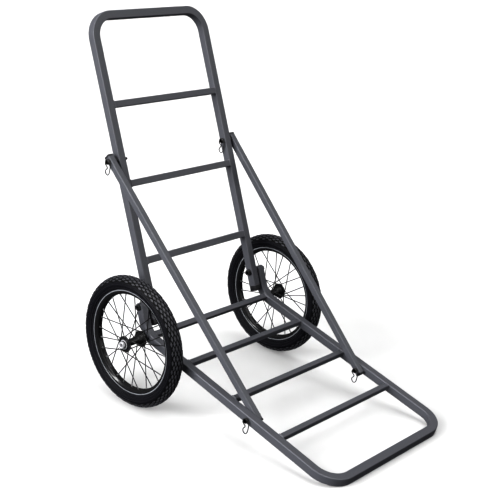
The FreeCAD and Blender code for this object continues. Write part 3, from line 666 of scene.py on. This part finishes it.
class TyreSkin:
    """One closed tyre skin: a diagonal tread lattice, two sidewalls and a coarse inside."""

    def __init__(self, centre, radius, half_width, rim_radius, rim_half):
        self.centre = centre
        self.middle = radius - half_width
        self.widest = half_width
        self.crown = half_width - TREAD_HEIGHT
        foot_x = rim_half - RIM_GAP
        foot_r = rim_radius + RIM_GAP - self.middle
        self.foot = math.hypot(foot_x, foot_r)
        self.rim_radius, self.rim_half = rim_radius, rim_half
        self.marks = tread_marks()
        self.vertices, self.faces, self.tops, self.gaps, self.found = [], [], [], [], {}

    def point(self, turn, angle, lift=0.0):
        """Point at turn radians round the wheel and angle degrees round the section."""
        size = sidewall(abs(angle), self.crown, self.widest, self.foot) + lift
        a = math.radians(angle)
        x, r = size * math.sin(a), self.middle + size * math.cos(a)
        return self.centre + Vector((x, r * math.cos(turn), r * math.sin(turn)))

    def add(self, point, top=0.0, gap=0.0):
        self.vertices.append(point)
        self.tops.append(top)
        self.gaps.append(gap)
        return len(self.vertices) - 1

    def lattice(self, p, q):
        """Vertex at (p, q): p and q count cells along the two diagonals, in whole marks."""
        count = len(self.marks)
        cycle = TREAD_PITCHES * count
        lap = (p + q) // (2 * cycle)
        key = (p - lap * cycle, q - lap * cycle)
        if key not in self.found:
            self.found[key] = self.lattice_vertex(*key)
        return self.found[key]

    def lattice_vertex(self, p, q):
        count = len(self.marks)
        cell_p, cell_q = p // count, q // count
        part_p, part_q = self.marks[p % count], self.marks[q % count]
        edge = GROOVE_SHARE + GROOVE_WALL / 2
        inside = edge < part_p < 1 - edge and edge < part_q < 1 - edge
        if part_p == part_q and part_p in (self.marks[2], self.marks[-2]):
            # The blocks' long tips are blunt.
            part_p = part_q = part_p + BLOCK_TIP_PULL * (0.5 - part_p)
        along = cell_p + part_p + cell_q + part_q
        across = cell_p + part_p - cell_q - part_q
        lift = TREAD_HEIGHT * ROW_HEIGHTS[abs(cell_p - cell_q)] if inside else 0.0
        turn = math.pi / TREAD_PITCHES * along
        place = self.point(turn, across * TREAD_ROW_ANGLE, lift)
        return self.add(place, 1.0 if inside else 0.0, 0.0 if inside else 1.0)

    def add_tread(self):
        count = len(self.marks)
        for pitch in range(TREAD_PITCHES):
            for row in range(-TREAD_ROWS, TREAD_ROWS + 1):
                # The cell's first corner; rows step across, pitches step along.
                cell_p = pitch + (row + TREAD_ROWS) // 2 - TREAD_ROWS // 2
                cell_q = cell_p - row
                for i in range(count):
                    for j in range(count):
                        p, q = cell_p * count + i, cell_q * count + j
                        self.faces.append([
                            self.lattice(p, q), self.lattice(p + 1, q),
                            self.lattice(p + 1, q + 1), self.lattice(p, q + 1),
                        ])

    def edge_ring(self, side):
        """The tread's zigzag edge on one side, as vertices in order round the wheel."""
        count = len(self.marks)
        ring = []
        for pitch in range(TREAD_PITCHES):
            if side > 0:
                # Along p at the top of the outermost row's cells, then down along q.
                cell_p = pitch
                cell_q = cell_p - TREAD_ROWS
                ring += [self.lattice((cell_p + 1) * count, cell_q * count + j) for j in range(count)]
                ring += [self.lattice((cell_p + 1) * count + i, (cell_q + 1) * count) for i in range(count)]
            else:
                cell_q = pitch
                cell_p = cell_q - TREAD_ROWS
                ring += [self.lattice(cell_p * count + i, (cell_q + 1) * count) for i in range(count)]
                ring += [self.lattice((cell_p + 1) * count, (cell_q + 1) * count + j) for j in range(count)]
        return ring

    def turn_of(self, index):
        offset = self.vertices[index] - self.centre
        return math.atan2(offset.z, offset.y)

    def add_side(self, side):
        """Rings from the tread's edge down the sidewall, round the bead and up the inside.

        Returns the last ring, and each of its points' turns round the wheel."""
        ring = self.edge_ring(side)
        turns = [self.turn_of(i) for i in ring]
        start = (TREAD_ROWS + 1) * TREAD_ROW_ANGLE + 1.0
        for step in range(SIDEWALL_STEPS + 1):
            angle = start + (SIDEWALL_END - start) * step / SIDEWALL_STEPS
            ring = self.join_ring(ring, [self.point(turn, side * angle) for turn in turns])
        bead = self.rim_half - BEAD_INSET
        bead_foot = self.rim_radius - BEAD_DEPTH
        stations = [(bead, self.rim_radius), (bead, bead_foot), (bead - TYRE_WALL, bead_foot)]
        inner = self.widest - TYRE_WALL
        for angle in INSIDE_ANGLES:
            a = math.radians(angle)
            stations.append((inner * math.sin(a), self.middle + inner * math.cos(a)))
        for x, r in stations:
            points = [self.centre + Vector((side * x, r * math.cos(t), r * math.sin(t))) for t in turns]
            ring = self.join_ring(ring, points)
        return ring, turns

    def join_ring(self, ring, points):
        new = [self.add(point) for point in points]
        count = len(ring)
        for k in range(count):
            self.faces.append([ring[k], ring[(k + 1) % count], new[(k + 1) % count], new[k]])
        return new

    def close_inside(self, right, left, right_turns, left_turns):
        """Joins the two innermost rings, which start at different turns."""
        order = sorted(range(len(right)), key=lambda k: right_turns[k])
        other = sorted(range(len(left)), key=lambda k: left_turns[k])
        count = len(order)
        for k in range(count):
            n = (k + 1) % count
            self.faces.append([right[order[k]], right[order[n]], left[other[n]], left[other[k]]])


def make_tyre(side):
    centre, radius, half_width = wheel_place(side)
    low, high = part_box(side + "_wheel_rim")
    skin = TyreSkin(centre, radius, half_width, (high.z - low.z) / 2, (high.x - low.x) / 2)
    skin.add_tread()
    right, right_turns = skin.add_side(1)
    left, left_turns = skin.add_side(-1)
    skin.close_inside(right, left, right_turns, left_turns)
    tyre = add_piece(side + "_tyre_tread", skin.vertices, skin.faces, RUBBER, 30.0)
    # The block_top mask places the tread's painted glint.
    add_mask(tyre, "block_top", skin.tops)
    # The groove_floor mask places the grooves' painted shade.
    add_mask(tyre, "groove_floor", skin.gaps)
    settle(tyre, side + "_wheel", "tyre_rubber", side + "_wheel_tyre")


def make_rim(side):
    centre = wheel_place(side)[0]
    low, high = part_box(side + "_wheel_rim")
    edge, half = (high.z - low.z) / 2, (high.x - low.x) / 2
    floor = edge - RIM_DEPTH
    shoulder = edge - 8.4 * MM
    well = 7.0 * MM
    lip = 1.15 * MM
    right = [
        (well, floor, 6 * MM),
        (half - 1.2 * MM, shoulder, 5 * MM),
        (half - 0.4 * MM, edge - 3.4 * MM, 1.5 * MM),
        (half, edge - 2.6 * MM, 0.5 * MM),
        (half, edge, lip),
        (half - 2 * lip, edge, lip),
        (half - 2 * lip, edge - 2.8 * MM, 0.4 * MM),
        (half - 0.6 * MM - RIM_WALL, edge - 3.6 * MM, 0.4 * MM),
        (half - 1.6 * MM - RIM_WALL, shoulder + RIM_WALL, 2 * MM),
        (well - 1 * MM, floor + RIM_WALL, 4 * MM),
    ]
    vertices, faces = lathe(rounded(mirrored(right)), centre, 180)
    rim = add_piece(side + "_rim", vertices, faces, RIM_PAINT, 40.0)
    radii = [math.hypot(v.co.y - centre.y, v.co.z - centre.z) for v in rim.data.vertices]
    # The lip mask places the rim paint's painted highlight.
    add_mask(rim, "lip", [float(radius > edge - LIP_DEPTH) for radius in radii])
    settle(rim, side + "_wheel", "rim_paint", side + "_wheel_rim")


def make_hub(side):
    centre = wheel_place(side)[0]
    low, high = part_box(side + "_wheel_hub")
    half, flange = (high.x - low.x) / 2, (high.z - low.z) / 2
    cup, barrel, bore, axle_clear = 16.0 * MM, 10.5 * MM, 14.0 * MM, 8.0 * MM
    outside = [
        (16 * MM, barrel, 8 * MM),
        (24 * MM, cup - 1 * MM, 5 * MM),
        (FLANGE_X - FLANGE_HALF, cup, 1.2 * MM),
        (FLANGE_X - FLANGE_HALF, flange, 1.0 * MM),
        (FLANGE_X + FLANGE_HALF, flange, 1.0 * MM),
        (FLANGE_X + FLANGE_HALF, cup, 1.2 * MM),
        (half, cup, 0.8 * MM),
        (half, bore, 0.4 * MM),
        (half - BEARING_DEPTH, bore, 0.3 * MM),
        (half - BEARING_DEPTH, axle_clear, 0.3 * MM),
    ]
    lobes = SPOKES_PER_FLANGE
    shift = math.pi / lobes

    def scallop(x, radius, angle):
        if radius < flange - 3 * MM or abs(abs(x) - FLANGE_X) > FLANGE_HALF + 0.1 * MM:
            return radius
        turn = angle - (shift if x > 0 else 0.0)
        return radius - SCALLOP_DEPTH * (0.5 - 0.5 * math.cos(lobes * turn))

    vertices, faces = lathe(rounded(mirrored(outside)), centre, 168, scallop)
    hub = add_piece(side + "_hub", vertices, faces, HUB_PAINT, 40.0)
    settle(hub, side + "_wheel", "black_steel", side + "_wheel_hub")


def spoke_layout(rim_floor):
    """Hub end, rim end, whether it leaves from the flange's outside, and the flange, for each spoke."""
    pitch = 2 * math.pi / SPOKES_PER_FLANGE
    for flange in (-1, 1):
        for hole in range(SPOKES_PER_FLANGE):
            hub_angle = hole * pitch + (pitch / 2 if flange > 0 else 0)
            rim_angle = hub_angle + (2 if hole % 2 else -2) * pitch
            outside = hole % 2 == 0
            stand = FLANGE_HALF + SPOKE_STAND_OFF if outside else -FLANGE_HALF - SPOKE_STAND_IN
            hub_end = Vector((flange * (FLANGE_X + stand),
                              SPOKE_CIRCLE * math.cos(hub_angle), SPOKE_CIRCLE * math.sin(hub_angle)))
            rim_end = Vector((flange * SPOKE_RIM_OFFSET,
                              rim_floor * math.cos(rim_angle), rim_floor * math.sin(rim_angle)))
            yield hub_end, rim_end, outside, flange


def make_spokes(side):
    centre = wheel_place(side)[0]
    low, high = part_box(side + "_wheel_rim")
    rim_floor = (high.z - low.z) / 2 - SPOKE_RIM_DEPTH
    spokes, nipples = Parts(), Parts()
    for hub_end, rim_end, outside, flange in spoke_layout(rim_floor):
        hub_end, rim_end = centre + hub_end, centre + rim_end
        through = X_AXIS * (-flange if outside else flange)
        stand = SPOKE_STAND_OFF if outside else SPOKE_STAND_IN
        head_start = hub_end + through * (stand + 2 * FLANGE_HALF)
        along = (rim_end - hub_end).normalized()
        path = arc(head_start, hub_end, rim_end, 2.0 * MM, 5)
        spokes.add(*sweep(path, circle(SPOKE_RADIUS, 10)))
        head_path = [head_start + through * d for d in (-0.3 * MM, 0.1 * MM, 0.9 * MM, 1.5 * MM)]
        head_sizes = (1.0 * MM, 1.9 * MM, 1.8 * MM, 0.8 * MM)
        spokes.add(*sweep(head_path, [circle(r, 10) for r in head_sizes]))
        steps = ((0.0, 1.3), (0.5, 1.75), (7.6, 1.85), (8.0, 2.1), (9.2, 2.6), (10.2, 2.9), (12.5, 2.9))
        nipple_path = [rim_end - along * (NIPPLE_START - d) * MM for d, _ in steps]
        nipples.add(*sweep(nipple_path, [circle(r * MM, 12) for _, r in steps]))
    spoke = spokes.piece(side + "_spokes", SPOKE_PAINT, 40.0)
    settle(spoke, side + "_wheel", "spoke_steel", side + "_wheel_spokes")
    nipple = nipples.piece(side + "_nipples", NICKEL, 40.0)
    settle(nipple, side + "_wheel", "bright_steel", side + "_wheel_nipples")


def make_wheels():
    for side in SIDES:
        make_tyre(side)
        make_rim(side)
        make_hub(side)
        make_spokes(side)


# ======================= frame details =======================

def bead_loop(centre, half, corner, tilt, x):
    """Weld bead round a square bar's end: a rippled ring in the plane at x."""
    outline = rounded_square(half, corner, 5)
    points = []
    for i, (a, b) in enumerate(outline):
        c, d = outline[(i + 1) % len(outline)]
        length = math.hypot(c - a, d - b)
        steps = max(1, round(length / WELD_STEP))
        for k in range(steps):
            t = k / steps
            y, z = a + (c - a) * t, b + (d - b) * t
            points.append(Vector((
                x,
                centre.y + y * math.cos(tilt) - z * math.sin(tilt),
                centre.z + y * math.sin(tilt) + z * math.cos(tilt),
            )))
    total = 0.0
    sections = []
    for i, point in enumerate(points):
        wave = abs(math.sin(math.pi * total / WELD_PITCH))
        sections.append(circle(WELD_RADIUS * (1 - WELD_RIPPLE + WELD_RIPPLE * wave), 8))
        total += (points[(i + 1) % len(points)] - point).length
    return sweep(points, sections, X_AXIS, True)


def make_welds():
    beads = {"base": Parts(), "upright": Parts()}
    for node, (body, half, tilt) in WELDED_BARS.items():
        low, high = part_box(node)
        centre = (low + high) / 2
        for x in (low.x + WELD_INSET, high.x - WELD_INSET):
            beads[body].add(*bead_loop(centre, half, BAR_CORNER, tilt, x))
    for body, parts in beads.items():
        settle(parts.piece(body + "_weld_beads", PAINT, 60.0), body, "frame_paint")


def moulded_end(start, along, across, half, corner, steps):
    """Square moulded plug: (distance, inset) steps of its outline, closed at both ends."""
    path = [start + along * distance for distance, _ in steps]
    sections = [rounded_square(half - inset, max(0.4 * MM, corner - inset * 0.3), 4) for _, inset in steps]
    return sweep(path, sections, across)


def make_leg_plugs():
    low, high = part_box("pivot_bolts")
    pivot = (low + high) / 2
    along = LEG_UP * -1
    parts = Parts()
    steps = (
        (-22.0 * MM, 1.9 * MM), (-0.1 * MM, 1.9 * MM), (0.0, 0.5 * MM), (0.3 * MM, 0.0), (1.4 * MM, 0.0),
        (1.9 * MM, 0.35 * MM), (2.6 * MM, 0.35 * MM), (3.1 * MM, 0.0), (15.0 * MM, 0.1 * MM),
        (16.6 * MM, 0.6 * MM), (17.6 * MM, 1.6 * MM), (18.0 * MM, 3.0 * MM), (17.6 * MM, 4.2 * MM),
    )
    for side in (-1, 1):
        start = Vector((side * LEG_X, pivot.y, pivot.z)) + along * LEG_TAIL
        parts.add(*moulded_end(start, along, X_AXIS, TUBE_HALF, TUBE_CORNER, steps))
    plug = parts.piece("leg_plug_mouldings", PLASTIC, 40.0)
    settle(plug, "upright", "black_plastic", "leg_plugs")


def joint_place(name):
    """A point on the joint's axis."""
    return Vector(next(joint["pos_m"] for joint in frame["joints"] if joint["name"] == name))


def brace_axis(side):
    """Both ends of the brace's tube on its middle line, the line's direction and a square side of it."""
    sign = -1 if side == "left" else 1
    top = joint_place(side + "_brace_swing")
    foot = joint_place("foot_" + side + "_clip_swing")
    top.x = sign * BRACE_TOP_X
    foot.x = sign * BRACE_FOOT_X
    along = (foot - top).normalized()
    across = (X_AXIS - along * X_AXIS.dot(along)).normalized()
    return top - along * BRACE_OVERHANG, foot + along * BRACE_OVERHANG, along, across


def make_brace_caps(side):
    start, end, along, across = brace_axis(side)
    parts = Parts()
    steps = (
        (-6.0 * MM, 1.45 * MM), (-1.6 * MM, 1.45 * MM), (-1.5 * MM, -0.25 * MM), (-1.2 * MM, -0.4 * MM),
        (2.8 * MM, -0.4 * MM), (3.6 * MM, 0.1 * MM), (4.2 * MM, 0.9 * MM), (4.5 * MM, 2.4 * MM),
        (4.2 * MM, 3.6 * MM),
    )
    for point, outward in ((start, along * -1), (end, along)):
        parts.add(*moulded_end(point, outward, across, BRACE_HALF, BRACE_CORNER, steps))
    caps = parts.piece(side + "_brace_end_caps", PLASTIC, 40.0)
    settle(caps, side + "_brace", "black_plastic", side + "_brace_caps")


# ======================= fastenings =======================

def make_axle_ends():
    """Nuts, washers and threaded ends of both stub axles."""
    nuts, washers, axles = Parts(), Parts(), Parts()
    low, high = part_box("stub_axles")
    centre = (low + high) / 2
    nut_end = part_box("axle_nuts")[1].x
    washer_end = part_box("axle_washers")[1].x
    axle_end = high.x
    axle_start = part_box("axle_plates")[1].x - AXLE_SEAT
    for side in (-1, 1):
        nuts.add(*hexagon_nut(centre, side * washer_end, side * nut_end, 18.0 * MM, 6.02 * MM))
        inner = washer_end - 2.0 * MM
        washer = [
            (side * inner, 6.1 * MM, 0), (side * inner, 12.0 * MM, 0.3 * MM),
            (side * washer_end, 12.0 * MM, 0.5 * MM), (side * washer_end, 6.1 * MM, 0.2 * MM),
        ]
        washers.add(*lathe(rounded(washer, 3), centre, 64))
        profile = [(side * axle_start, 0.0), (side * axle_start, 6.0 * MM)]
        thread_start, pitch = nut_end - 1.2 * MM, 0.9 * MM
        profile.append((side * thread_start, 6.0 * MM))
        x = thread_start
        while x + pitch < axle_end - 0.9 * MM:
            profile += [(side * (x + pitch * 0.5), 5.5 * MM), (side * (x + pitch), 5.95 * MM)]
            x += pitch
        profile += [(side * (axle_end - 0.5 * MM), 5.5 * MM), (side * axle_end, 4.9 * MM)]
        profile += [(side * axle_end, 2.4 * MM), (side * (axle_end - 1.5 * MM), 0.9 * MM)]
        profile += [(side * (axle_end - 2.6 * MM), 0.0)]
        start = Vector((0, centre.y, centre.z))
        axles.add(*turned_rod(start, X_AXIS, profile, 48))
    for parts, name, node, material, slot in (
        (nuts, "axle_hexagon_nuts", "axle_nuts", ZINC, "bright_steel"),
        (washers, "axle_plain_washers", "axle_washers", BLACK_STEEL, "black_steel"),
        (axles, "threaded_stub_axles", "stub_axles", BLACK_STEEL, "black_steel"),
    ):
        settle(parts.piece(name, material, 35.0), "base", slot, node)


def make_pivot_bolts():
    """Flanged heads outboard with a bright centre, shanks, nuts and washers inboard."""
    low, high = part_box("pivot_bolts")
    centre = (low + high) / 2
    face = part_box("base_frame")[1].x
    nut_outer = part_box("pivot_nuts")[1].x
    nut_inner = nut_outer - PIVOT_NUT
    washer_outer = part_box("pivot_washers")[1].x
    shank_end = nut_inner - PIVOT_BOLT_END
    bolts, nuts, washers, dots = Parts(), Parts(), Parts(), Parts()
    for side in (-1, 1):
        flats = 16.0 * MM
        head_end = high.x
        bolts.add(*hexagon_nut(centre, side * face, side * head_end, flats, 3.6 * MM))
        flange = [
            (side * face, 4.0 * MM, 0), (side * face, 10.0 * MM, 0.4 * MM),
            (side * (face + 1.3 * MM), 9.8 * MM, 0.6 * MM), (side * (face + 1.9 * MM), 4.0 * MM, 0.2 * MM),
        ]
        bolts.add(*lathe(rounded(flange, 3), centre, 64))
        shank = [(side * (face + 0.5 * MM), 0.0), (side * (face + 0.5 * MM), 5.0 * MM)]
        shank += [(side * (shank_end + 0.8 * MM), 5.0 * MM), (side * shank_end, 4.2 * MM)]
        shank += [(side * shank_end, 0.0)]
        start = Vector((0, centre.y, centre.z))
        bolts.add(*turned_rod(start, X_AXIS, shank, 40))
        dot = [(side * (face + 1.0 * MM), 0.0), (side * (face + 1.0 * MM), 3.55 * MM)]
        dot += [(side * (head_end - 0.8 * MM), 3.55 * MM), (side * (head_end - 0.2 * MM), 3.0 * MM)]
        dot += [(side * (head_end + 0.3 * MM), 1.6 * MM), (side * (head_end + 0.4 * MM), 0.0)]
        dots.add(*turned_rod(start, X_AXIS, dot, 32))
        nuts.add(*hexagon_nut(centre, side * nut_outer, side * nut_inner, flats, 5.02 * MM))
        washer = [
            (side * nut_outer, 5.1 * MM, 0), (side * nut_outer, 10.0 * MM, 0.4 * MM),
            (side * washer_outer, 10.0 * MM, 0.3 * MM), (side * washer_outer, 5.1 * MM, 0),
        ]
        washers.add(*lathe(rounded(washer, 3), centre, 64))
    for parts, name, material, slot, *nodes in (
        (bolts, "pivot_flange_bolts", BLACK_STEEL, "black_steel", "pivot_bolts"),
        (dots, "pivot_bolt_centres", ZINC, "bright_steel"),
        (nuts, "pivot_hexagon_nuts", BLACK_STEEL, "black_steel", "pivot_nuts"),
        (washers, "pivot_plain_washers", BLACK_STEEL, "black_steel", "pivot_washers"),
    ):
        settle(parts.piece(name, material, 35.0), "base", slot, *nodes)


def make_pin(name):
    """Lock pin: dished knob with a fluted rim, plain shank with a snap groove and a tapered tip.

    The lists are distances and radii in millimetres, from the head's face and from the tip."""
    low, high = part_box(name)
    middle = (low + high) / 2
    start = Vector((low.x, middle.y, middle.z))
    length = high.x - low.x
    profile = [
        (0.5, 0.0), (0.4, 4.6), (0.0, 5.4), (0.0, 6.6), (0.5, 7.6), (1.2, -8.0), (4.0, -8.0), (4.2, 7.5),
        (5.0, 7.5), (5.2, -8.0), (7.8, -8.0), (8.5, 7.6), (9.0, 6.8), (9.0, 4.6), (9.4, 4.0),
    ]
    points = [(d * MM, r * MM) for d, r in profile]
    end = [(9.0, 4.0), (8.6, 3.4), (7.8, 3.4), (7.4, 4.0), (1.6, 4.0), (0.5, 3.1), (0.0, 2.2), (0.0, 0.0)]
    points += [(length - d * MM, r * MM) for d, r in end]
    shell = turned_rod(start, X_AXIS, points, 72, PIN_FLUTES, PIN_FLUTE_DEPTH)
    pin = add_piece(name + "_turned", *shell, BLACK_STEEL, 35.0)
    settle(pin, name, "black_steel", name)


def make_clip(name):
    """Wire bail through the pin's head: a drooping loop with one waisted side."""
    low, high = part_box(name)
    x, y, top = (low.x + high.x) / 2, (low.y + high.y) / 2, high.z - CLIP_WIRE
    knots = [Vector((x, y + a * MM, top - b * MM)) for a, b in CLIP_OUTLINE]
    path = smooth_loop(knots, 8)
    clip = add_piece(name + "_wire", *sweep(path, circle(CLIP_WIRE, 12), X_AXIS, True), BLACK_STEEL, 60.0)
    settle(clip, name, "black_steel", name)


def make_valve(side):
    """Threaded stem and a fluted cap, pointing at the hub.

    The lists are distances and radii in millimetres, outwards from the cap's end."""
    centre = wheel_place(side)[0]
    turn = math.pi / SPOKES_PER_FLANGE / 2
    outward = Vector((0, math.cos(turn), math.sin(turn)))
    start = centre + outward * VALVE_REACH
    cap = [(0.0, 0.0), (0.0, 3.2), (0.5, 4.0), (1.2, -4.6), (8.6, -4.6), (9.2, 4.3), (11.0, 4.3), (11.0, 0.0)]
    stem = [(10.5, 0.0), (10.5, 3.4)]
    for k in range(12):
        stem += [(11.4 + k * 0.9, 3.9), (11.85 + k * 0.9, 3.45)]
    stem += [(22.4, 4.0), (33.5, 4.0), (33.5, 0.0)]
    parts = Parts()
    cap = [(d * MM, r * MM) for d, r in cap]
    parts.add(*turned_rod(start, outward, cap, 60, CAP_FLUTES, CAP_FLUTE_DEPTH))
    parts.add(*turned_rod(start, outward, [(d * MM, r * MM) for d, r in stem], 32))
    valve = parts.piece(side + "_valve_stem", PLASTIC, 35.0)
    settle(valve, side + "_wheel", "black_plastic", side + "_wheel_valve")


def make_details():
    make_welds()
    make_leg_plugs()
    make_axle_ends()
    make_pivot_bolts()
    for side in SIDES:
        make_brace_caps(side)
        make_valve(side)
        for place in ("top_", "foot_"):
            make_pin(place + side + "_pin")
            make_clip(place + side + "_clip")


# ======================= floor, light and camera =======================

def make_floor():
    size = FLOOR_REACH
    vertices = [(-size, -size, 0), (size, -size, 0), (size, size, 0), (-size, size, 0)]
    floor = add_piece("floor", vertices, [[0, 1, 2, 3]], floor_paper())
    if floor.data.polygons[0].normal.z < 0:
        floor.data.flip_normals()


def add_light(name, kind, place, aim, power, **settings):
    data = bpy.data.lights.new(name, kind)
    data.energy = power
    for key, value in settings.items():
        setattr(data, key, value)
    light = bpy.data.objects.new(name, data)
    light.location = place
    light.visible_camera = False
    light.rotation_euler = (Vector(aim) - Vector(place)).to_track_quat("-Z", "Y").to_euler()
    bpy.context.scene.collection.objects.link(light)
    return light


def make_world():
    """White to the camera; a dim sky, brighter overhead, to everything else."""
    world = bpy.data.worlds.new("studio")
    world.use_nodes = True
    tree = world.node_tree
    sky = tree.nodes["Background"]
    path = tree.nodes.new("ShaderNodeLightPath")
    place = tree.nodes.new("ShaderNodeTexCoord")
    split = tree.nodes.new("ShaderNodeSeparateXYZ")
    dim = tree.nodes.new("ShaderNodeMapRange")
    choose = tree.nodes.new("ShaderNodeMix")
    dim.inputs["From Min"].default_value = SKY_FROM
    dim.inputs["From Max"].default_value = 1.0
    dim.inputs["To Min"].default_value = SKY_LOW
    dim.inputs["To Max"].default_value = SKY_HIGH
    choose.inputs["B"].default_value = 1.0
    sky.inputs["Color"].default_value = (1.0, 1.0, 1.0, 1)
    tree.links.new(place.outputs["Generated"], split.inputs["Vector"])
    tree.links.new(split.outputs["Z"], dim.inputs["Value"])
    tree.links.new(path.outputs["Is Camera Ray"], choose.inputs["Factor"])
    tree.links.new(dim.outputs["Result"], choose.inputs["A"])
    tree.links.new(choose.outputs["Result"], sky.inputs["Strength"])
    bpy.context.scene.world = world


def make_lights():
    make_world()
    for name, place, power, angle, mirrored in SUNS:
        sun = add_light(name, "SUN", place, (0, 0, 0), power, angle=math.radians(angle))
        sun.visible_glossy = mirrored
    for name, place, aim, size, power in SOFT_BOXES:
        add_light(name, "AREA", place, aim, power, shape="RECTANGLE", size=size[0], size_y=size[1])
    settings = bpy.context.scene.view_settings
    settings.view_transform = "Standard"
    settings.gamma = VIEW_GAMMA


def make_camera():
    low, high = CAD_BOX
    aim = (low + high) / 2 + CAMERA_AIM_OFFSET
    back = Vector((
        math.sin(CAMERA_AZIMUTH) * math.cos(CAMERA_ELEVATION),
        -math.cos(CAMERA_AZIMUTH) * math.cos(CAMERA_ELEVATION),
        math.sin(CAMERA_ELEVATION),
    ))
    level = Vector((math.cos(CAMERA_AZIMUTH), math.sin(CAMERA_AZIMUTH), 0))
    upward = back.cross(level)
    right = level * math.cos(CAMERA_ROLL) + upward * math.sin(CAMERA_ROLL)
    up = upward * math.cos(CAMERA_ROLL) - level * math.sin(CAMERA_ROLL)
    data = bpy.data.cameras.new("camera")
    data.lens = CAMERA_LENS
    data.sensor_width = CAMERA_SENSOR
    camera = bpy.data.objects.new("camera", data)
    turn = Matrix((right, up, back)).transposed()
    camera.matrix_world = Matrix.Translation(aim + back * CAMERA_DISTANCE) @ turn.to_4x4()
    bpy.context.scene.collection.objects.link(camera)
    bpy.context.scene.camera = camera


paint_cad_nodes()
make_wheels()
make_details()
make_floor()
make_lights()
make_camera()
